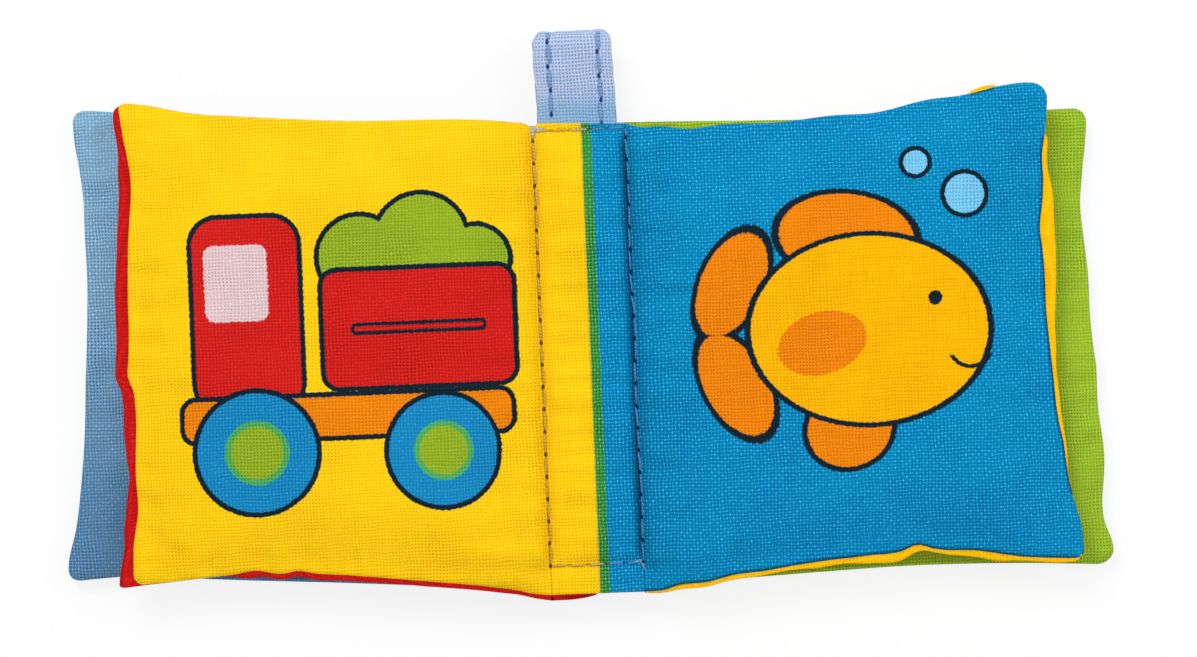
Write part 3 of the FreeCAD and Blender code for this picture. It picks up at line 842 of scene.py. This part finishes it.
PAINTS = {
    "yellow": truck_print(),
    "blue": fish_print(),
    "spine": spine_print(),
    "red": plain_cotton("red_cotton", "#c21414", "#d42a24", "#880808", 0.5, 0.45),
    "rim": plain_cotton("orange_yellow_cotton", "#ffbe00", "#ffd02c", "#cc8400", 0.5, 0.35),
    "light_blue": washed_cotton("light_blue_cotton"),
    "green": plain_cotton("green_cotton", "#9abc2e", "#b0d04c", "#5c861a", 0.5, 0.85),
    "cover": washed_cotton("cover_cotton"),
    "strap": strap_cotton(),
    # plain thread, then painted bounce light and shade over yellow and over blue
    "thread": thread_paint("spine_thread", ("#b8bcc4", "#5a6474"), ("#d0ac44", "#6e5414"),
                           ("#5c94c4", "#143058")),
    "strap_thread": thread_paint("strap_thread", ("#7ea6d8", "#22304e")),
}


# ---- spine strips and the folds beside them
STRIP_COLUMNS, FOLD_COLUMNS = 41, 9
STRIP_STEP = 1.1  # from one row of a strip's points to the next, in millimetres
NOTCH_WIDTH = 0.8


def two_levels(sign, x, y, t, stack, up=0.0, down=0.0):
    """Front and back surfaces of two cloths in a sewn stack, puffed up and down from it. They join where t
    is 0 or 1."""
    middle, half = (stack[0] + stack[1]) / 2, (stack[1] - stack[0]) / 2
    parted = (t > 0) & (t < 1)
    return [np.stack([sign * x, y, middle + way * parted * (half + puff)], axis=-1)
            for way, puff in ((1, up), (-1, down))]


def spine_strip(name, tops, bottoms, stack, puffs, materials, seed, rim=None, notch=0.0):
    """The strip of two cloths between the rows of stitches, puffed away from the stack and drawn in at the
    four rows. tops and bottoms are the y of its left and right ends, puffs its heights up and down, and
    notch is how far the thread has drawn in its upper left corner."""
    along = stepped(tops[0] - bottoms[0], STRIP_STEP)
    s, t = np.meshgrid(np.linspace(0, 1, STRIP_COLUMNS), along, indexing="ij")
    x = STITCH_X * (2 * s - 1)
    top = tops[0] + (tops[1] - tops[0]) * s - notch * np.exp(-((x + STITCH_X) / NOTCH_WIDTH)**2)
    bottom = bottoms[0] + (bottoms[1] - bottoms[0]) * s
    y = bottom + (top - bottom) * t
    from_row = np.maximum(STITCH_X - np.abs(x), 0)
    sewn = off_the_row(from_row, 2.0 - 0.4 * between_holes(y)) * (0.75 + 0.25 * smooth(0, STITCH_X, from_row))
    for row in STITCH_ROWS:
        sewn *= off_the_row(np.abs(y - row), 1.3)
    outside = smooth(STITCH_TOP, STITCH_TOP + 0.5, y) + smooth(-STITCH_BOTTOM, 0.5 - STITCH_BOTTOM, -y)
    sewn *= 1 - outside * (0.3 + 0.7 * (1 - smooth(0, 3, from_row)))
    sewn *= 1 + 0.22 * uneven(seed, 11, x, y) + 0.12 * uneven(seed + 1, 5.0, y)
    front, back = two_levels(1, x, y, t, stack, *(puff * sewn for puff in puffs))
    if rim:
        back[..., 1] -= rim_shift(y - bottom, through(rim, x))
    return cloth_piece(name, front, back, x, y, materials)


def cover_fold(name, leaf, materials):
    """The narrow run of the cover's two cloths from a row of stitches to the cover's root, flat at rest."""
    inner, outer = STITCH_X + SEAM_GAP, leaf["root"] - SEAM_GAP
    rows = len(stepped(leaf_size(leaf)[1]))
    s, t = np.meshgrid(np.linspace(0, 1, FOLD_COLUMNS), np.linspace(0, 1, rows), indexing="ij")
    x = inner + (outer - inner) * s
    low_y, high_y = through(leaf["bottom"], x), through(leaf["top"], x)
    y = low_y + (high_y - low_y) * t
    surfaces = two_levels(leaf["sign"], x, y, t, leaf["stack"])
    return cloth_piece(name, *surfaces, leaf["sign"] * x, y, materials, leaf["sign"])


# ---- stitches
THREAD_SIDES, THREAD_RINGS = 8, 9
SPINE_THREAD = (0.48, 0.36, 0.5)  # width and height of a stitch, and the space to the next
LOOP_THREAD = (0.8, 0.3, 1.0)
# Stitches at the rectangle's corners, as x and y of both holes from the corner.
TACK = ((-2.4, 0.25, 0.1, 0.35), (-0.5, 0.4, 0.3, -1.7), (-0.2, 0.1, 0.1, -1.3))
BEGUN = ((0.2, 0.15, 3.0, 0.05), (-0.25, 1.3, -0.15, -1.6), (0.2, 0.5, 3.0, 0.4), (0.1, 1.3, 0.2, -1.6))


def stitch_run(start, end, count, seed):
    """Hole to hole pairs along a row that strays a little to its sides."""
    start, end = np.array(start), np.array(end)
    length = np.linalg.norm(end - start)
    aside = np.array((start[1] - end[1], end[0] - start[0])) / length
    stray = uneven(seed, 24.0, np.linspace(0, length, count + 1)) * 0.16
    stray[[0, -1]] = 0
    holes = start + np.outer(np.arange(count + 1) / count, end - start) + np.outer(stray, aside)
    return list(zip(holes[:-1], holes[1:]))


def thread_piece(start, end, up, tint, thread, seed):
    """One stitch from hole to hole: rings of a flattened thread that sways a little and dives into the
    cloth at its ends. Returns points and their twist: how far along, how far round, and the tint."""
    rng = np.random.default_rng(seed)
    width, height, space = thread
    slant = np.cross(up, end - start)
    slant *= 0.12 / np.linalg.norm(slant)
    start = start - slant * rng.uniform(0.3, 1.7)
    end = end + slant * rng.uniform(0.3, 1.7)
    width *= rng.uniform(0.85, 1.2)
    length = np.linalg.norm(end - start)
    run = (end - start) / length
    side = np.cross(up, run)
    q = np.linspace(0, 1, THREAD_RINGS)
    arch = np.abs(np.sin(math.pi * q))
    ahead = space / 2 + (length - space) * q
    lift = height * (arch**0.35 * 1.2 - 0.35)
    sway = width * 0.18 * np.sin(math.pi * q + rng.uniform(-1, 1, THREAD_RINGS))
    slim = width / 2 * (0.6 + 0.4 * arch**0.5)
    turn = np.arange(THREAD_SIDES) / THREAD_SIDES
    aside = sway[:, None] + np.outer(slim, np.cos(2 * math.pi * turn))
    above = lift[:, None] + height / 2 * np.sin(2 * math.pi * turn)
    points = start + sum(np.multiply.outer(np.broadcast_to(far, aside.shape), way)
                         for far, way in ((ahead[:, None], run), (aside, side), (above, up)))
    twist = np.stack(np.broadcast_arrays(ahead[:, None], turn, tint), axis=-1)
    return points, twist


def sew(name, stitches, material, thread, wrap=None):
    """All stitches as one mesh, each from (start, end, up, tint). wrap moves their points into place."""
    made = [thread_piece(*stitch, thread, number) for number, stitch in enumerate(stitches)]
    points, twist = (np.array(part).reshape(-1, 3) for part in zip(*made))
    firsts = range(0, len(points), THREAD_RINGS * THREAD_SIDES)
    one = tube_faces(THREAD_RINGS, THREAD_SIDES)
    faces = [[first + corner for corner in face] for first in firsts for face in one]
    return new_object(name, wrap(points) if wrap else points, faces, [material], twist=twist)


def spine_stitches():
    """The rectangle of stitches through the whole stack, seen from both sides. Its first stitches at the
    upper left are sewn again, and a tack ends it at the lower right. On top the thread is painted with light
    bounced from the cloth, golden over yellow, and blue with painted shade over blue; underneath it is plain."""
    left, right = -STITCH_X, STITCH_X
    runs = []
    for x, seed in ((left, 61), (right, 62)):
        second = STITCH_TOP - FIRST_STITCH
        runs += stitch_run((x, STITCH_TOP), (x, second), 1, seed)
        runs += stitch_run((x, second), (x, STITCH_BOTTOM), LONG_ROW, seed)
    for y, seed in ((STITCH_TOP, 63), (STITCH_BOTTOM, 64)):
        runs += stitch_run((left, y), (right, y), SHORT_ROW, seed)
    again = [(start + (0.22, 0.0), end + (0.22, 0.0)) for start, end in runs[1:4]]
    # tint runs from -1 over yellow to 1 over blue and sets the thread's painted bounce light and shade
    tinted = [(*ends, float(np.clip((ends[0][0] + ends[1][0]) * 0.4 - 0.6, -1, 1))) for ends in runs]
    for corner, tint, places in ((right, STITCH_BOTTOM), 0.6, TACK), ((left, STITCH_TOP), 0.0, BEGUN):
        tinted += [(*(np.reshape(place_at, (2, 2)) + corner), tint) for place_at in places]
    tinted += [(*ends, -0.8) for ends in again]
    made = []
    for level, up, share in ((PAGE_STACK[1], 1.0, 1), (COVER_STACK[0], -1.0, 0)):
        for start, end, tint in tinted:
            made.append((np.append(start, level), np.append(end, level), np.array((0, 0, up)), tint * share))
    return sew("spine_thread_stitches", made, PAINTS["thread"], SPINE_THREAD)


# ---- hanging loop
LOOP_WIDTH, LOOP_X = 16.6, -0.35
LOOP_THICK = 0.9
LOOP_CORNER = 2.3
LOOP_BEND = 2.75  # radius of the strap's middle at the far end
LOOP_TAIL, LOOP_FAR = (y - MIDDLE_Y for y in reach_y("hanging_loop"))


def loop_path(step=0.6):
    """Middle of the strap from the upper tail round the far end to the lower one: the plies part slowly on
    their way out, and a half circle joins them. Returns (y, z) points, the length to each and its outward
    normal."""
    centre = LOOP_FAR - LOOP_BEND - LOOP_THICK / 2
    y = np.linspace(LOOP_TAIL, centre, int((centre - LOOP_TAIL) / step) + 1)
    tail = LOOP_THICK / 2 - 0.07
    z = tail + (LOOP_BEND - tail) * smooth(STITCH_TOP, centre + 1.0, y)
    angle = np.linspace(0, math.pi, 25)[1:-1]
    upper = np.stack([y, z], axis=1)
    end = np.stack([centre + LOOP_BEND * np.sin(angle), z[-1] * np.cos(angle)], axis=1)
    path = np.concatenate([upper, end, upper[::-1] * (1, -1)]) + (0, HINGE_Z)
    along = np.gradient(path, axis=0)
    along /= np.linalg.norm(along, axis=1, keepdims=True)
    length = np.concatenate([[0], np.cumsum(np.linalg.norm(np.diff(path, axis=0), axis=1))])
    return path, length, np.stack([-along[:, 1], along[:, 0]], axis=1)


def make_loop(material):
    """A strap of folded cotton: round folded edges, a shallow groove along each row of stitches, and a far
    end whose corners draw in. Its outline across is carried along loop_path."""
    path, length, normal = loop_path()
    half, thick = LOOP_WIDTH / 2, LOOP_THICK / 2
    face = np.linspace(thick - half, half - thick, 33)
    turn = np.linspace(math.pi / 2, -math.pi / 2, 7)[1:-1]
    half_round = np.concatenate([np.stack([face, np.full_like(face, thick)], axis=1), np.stack(
        [half - thick + thick * np.cos(turn), thick * np.sin(turn)], axis=1)])
    across, height = np.concatenate([half_round, -half_round]).T
    y, z, run = path[:, :1], path[:, 1:], length[:, None]
    inward = np.maximum(0, LOOP_CORNER - np.maximum(0, LOOP_FAR - thick - y))
    draw = LOOP_CORNER - np.sqrt(LOOP_CORNER**2 - inward**2)
    lean = LOOP_X - 0.45 * smooth(49, 66, y) + 0.10 * np.sin(run * 0.55 + 1.0)
    groove = sum(np.exp(-((across - row) / 0.8)**2) for row in LOOP_ROWS)
    rise = height * (1 - 0.35 * groove) + 0.07 * np.sin(run * 0.9 + across * 0.4)
    x = across * (1 - 0.8 * draw / half) + lean
    points = np.stack([x, y + normal[:, :1] * rise, z + normal[:, 1:] * rise], axis=-1)
    cloth = np.stack(np.broadcast_arrays(across, run, AWAY), axis=-1)
    faces = tube_faces(*x.shape)
    return new_object("hanging_loop_strap", points.reshape(-1, 3), faces, [material], cloth=cloth), length[-1]


def loop_stitches():
    """Both rows on both plies: sewn along the strap laid flat, then wrapped round its path."""
    path, length, normal = loop_path(0.25)

    def wrapped(points):
        y, z, out_y, out_z = (np.interp(points[:, 1], length, part) for part in (*path.T, *normal.T))
        return np.stack([LOOP_X + points[:, 0], y + out_y * points[:, 2], z + out_z * points[:, 2]], axis=1)

    level = LOOP_THICK / 2 * 0.72  # sunk into the groove
    made = []
    for row, first in zip(LOOP_ROWS, LOOP_FIRSTS):
        for start in first + np.arange(4) * LOOP_PITCH:
            stop = min(start + LOOP_PITCH, LOOP_TURN - 0.9)
            for ends in ((start, stop), (length[-1] - stop, length[-1] - start)):
                made.append((*(np.array((row, run, level)) for run in ends), np.array((0, 0, 1.0)), 0.0))
    return sew("loop_thread_stitches", made, PAINTS["strap_thread"], LOOP_THREAD, wrapped)


# ---- the book put together
def riding(obj, body, slot, *replaced):
    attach(obj, body)
    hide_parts(*replaced)
    return obj


def bend(obj):
    """Bakes obj's placement into its mesh, so that the object sits at the origin."""
    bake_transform(obj)


moved = simulate(LEAVES)
FACES = {
    "left_page": ("yellow", "red", "yellow_print_cotton"),
    "right_page": ("blue", "rim", "blue_print_cotton"),
    "left_cover": ("light_blue", "cover", "light_blue_cotton"),
    "right_cover": ("green", "cover", "green_cotton"),
}
for leaf_name, (front_paint, back_paint, slot_name) in FACES.items():
    paints = [PAINTS[front_paint], PAINTS[back_paint]]
    pillow = make_leaf(leaf_name, paints, moved.get(leaf_name))
    page = leaf_name.replace("cover", "page")
    if leaf_name == page:
        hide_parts(f"{leaf_name}_front_cloth", f"{leaf_name}_back_cloth")
        bend(pillow)
    else:
        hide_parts(f"{leaf_name}_inside_cloth", f"{leaf_name}_outside_cloth")
        bend(pillow)
        fold = cover_fold(f"{leaf_name}_fold", LEAVES[leaf_name], paints)
        bend(fold)
    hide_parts(f"{leaf_name}_wadding", f"{leaf_name}_crinkle_film")

page_strip = spine_strip("page_spread_spine", (47.9, 46.9), (-51.7, -51.8), PAGE_STACK, (2.1, 0.3),
                         [PAINTS["spine"], PAINTS["red"]], 31,
                         [(-9.8, 1.2), (-5, 1.1), (-2, 0.7), (0.5, 0.1), (9.8, 0)], notch=1.2)
riding(page_strip, "spine", "spine_print_cotton", "page_spread_front_spine", "page_spread_back_spine")
cover_ends = [[LEAVES[cover][edge][0][1] for cover in COVERS] for edge in ("top", "bottom")]
cover_strip = spine_strip("cover_spread_spine", *cover_ends, COVER_STACK, (0.2, 0.7),
                          [PAINTS["light_blue"], PAINTS["cover"]], 37)
riding(cover_strip, "spine", "cover_cotton", "cover_spread_inside_spine", "cover_spread_outside_spine")
riding(spine_stitches(), "spine", "spine_thread", "spine_stitching")
strap, strap_length = make_loop(PAINTS["strap"])
riding(strap, "spine", "strap_cotton", "hanging_loop")
strap_stitches = riding(loop_stitches(), "spine", "strap_thread", "loop_stitching")

# ---- floor, light and camera
FLOOR_REACH = 3000  # from its middle to each side
FLOOR_DROP = 0.2  # the floor lies this far below the book, so that they don't share a plane
FLOOR_GLOW = 0.82  # how much of the floor the camera sees as plain white
FRAME_WIDTH = 0.2514  # width of the view at the pages' height
VIEW_MIDDLE, VIEW_LEVEL = (0.00387, -0.00375), 0.013
BOOK_TURN = 2.4  # degrees that the book lies turned in the view
SENSOR = 36


def make_floor():
    """A wide plain floor: pale where light falls on it, pure white to the camera apart from soft shadow,
    and clear when it is looked at from underneath."""
    paint = Paint("floor", roughness=1.0, specular=0.0)
    paint.put(paint.surface.inputs["Base Color"], "#f4f4f4")
    glow = paint.node("ShaderNodeEmission", None, {"Color": "#ffffff", "Strength": 1.0})
    rays = paint.node("ShaderNodeLightPath", output="Is Camera Ray")
    lit = Value(paint, paint.surface.outputs[0])
    shown = paint.node("ShaderNodeMixShader", None, {0: rays * FLOOR_GLOW, 1: lit, 2: glow})
    below = paint.node("ShaderNodeNewGeometry", output="Backfacing") * rays
    clear = paint.node("ShaderNodeBsdfTransparent")
    shown = paint.node("ShaderNodeMixShader", None, {0: below, 1: shown, 2: clear})
    paint.put(paint.tree.nodes["Material Output"].inputs["Surface"], shown)
    corners = np.array(((-1, -1), (1, -1), (1, 1), (-1, 1))) * FLOOR_REACH
    corners = np.column_stack([corners, np.full(4, -FLOOR_DROP)])
    new_object("floor", corners, [(0, 1, 2, 3)], [paint.material])


def area_light(name, offset, size, power):
    """A round light that shines on the book's middle from an offset in metres."""
    light = bpy.data.lights.new(name, "AREA")
    light.shape = "DISK"
    light.size = size
    light.energy = power
    obj = linked(bpy.data.objects.new(name, light))
    obj.location = Vector(place((0, 0, 0))) + Vector(offset)
    obj.rotation_euler = (-Vector(offset)).to_track_quat("-Z", "Y").to_euler()


make_floor()
area_light("key", (-0.30, 0.55, 0.95), 0.5, 6.3)
area_light("fill", (0.70, 0.25, 0.85), 0.9, 3.9)

world = bpy.data.worlds.new("studio")
bpy.context.scene.world = world
world.use_nodes = True
sky = Nodes(world.node_tree)
seen = sky.node("ShaderNodeLightPath", output="Is Camera Ray")
seen = seen.high(sky.node("ShaderNodeLightPath", output="Is Glossy Ray"))
level = sky.node("ShaderNodeMapRange", None, {"Value": seen, "To Min": 0.55, "To Max": 1.0})
background = sky.tree.nodes["Background"]
sky.put(background.inputs["Strength"], level)
sky.put(background.inputs["Color"], "#ffffff")

camera_data = bpy.data.cameras.new("camera")
camera = linked(bpy.data.objects.new("camera", camera_data))
bpy.context.scene.camera = camera
camera.location = (*VIEW_MIDDLE, VIEW_LEVEL + CAMERA_AWAY)
camera.rotation_euler = (0, 0, math.radians(-BOOK_TURN))
camera_data.sensor_width = SENSOR
camera_data.lens = SENSOR * CAMERA_AWAY / FRAME_WIDTH
camera_data.clip_start, camera_data.clip_end = 0.05, 20

bpy.context.scene.view_settings.view_transform = "Standard"
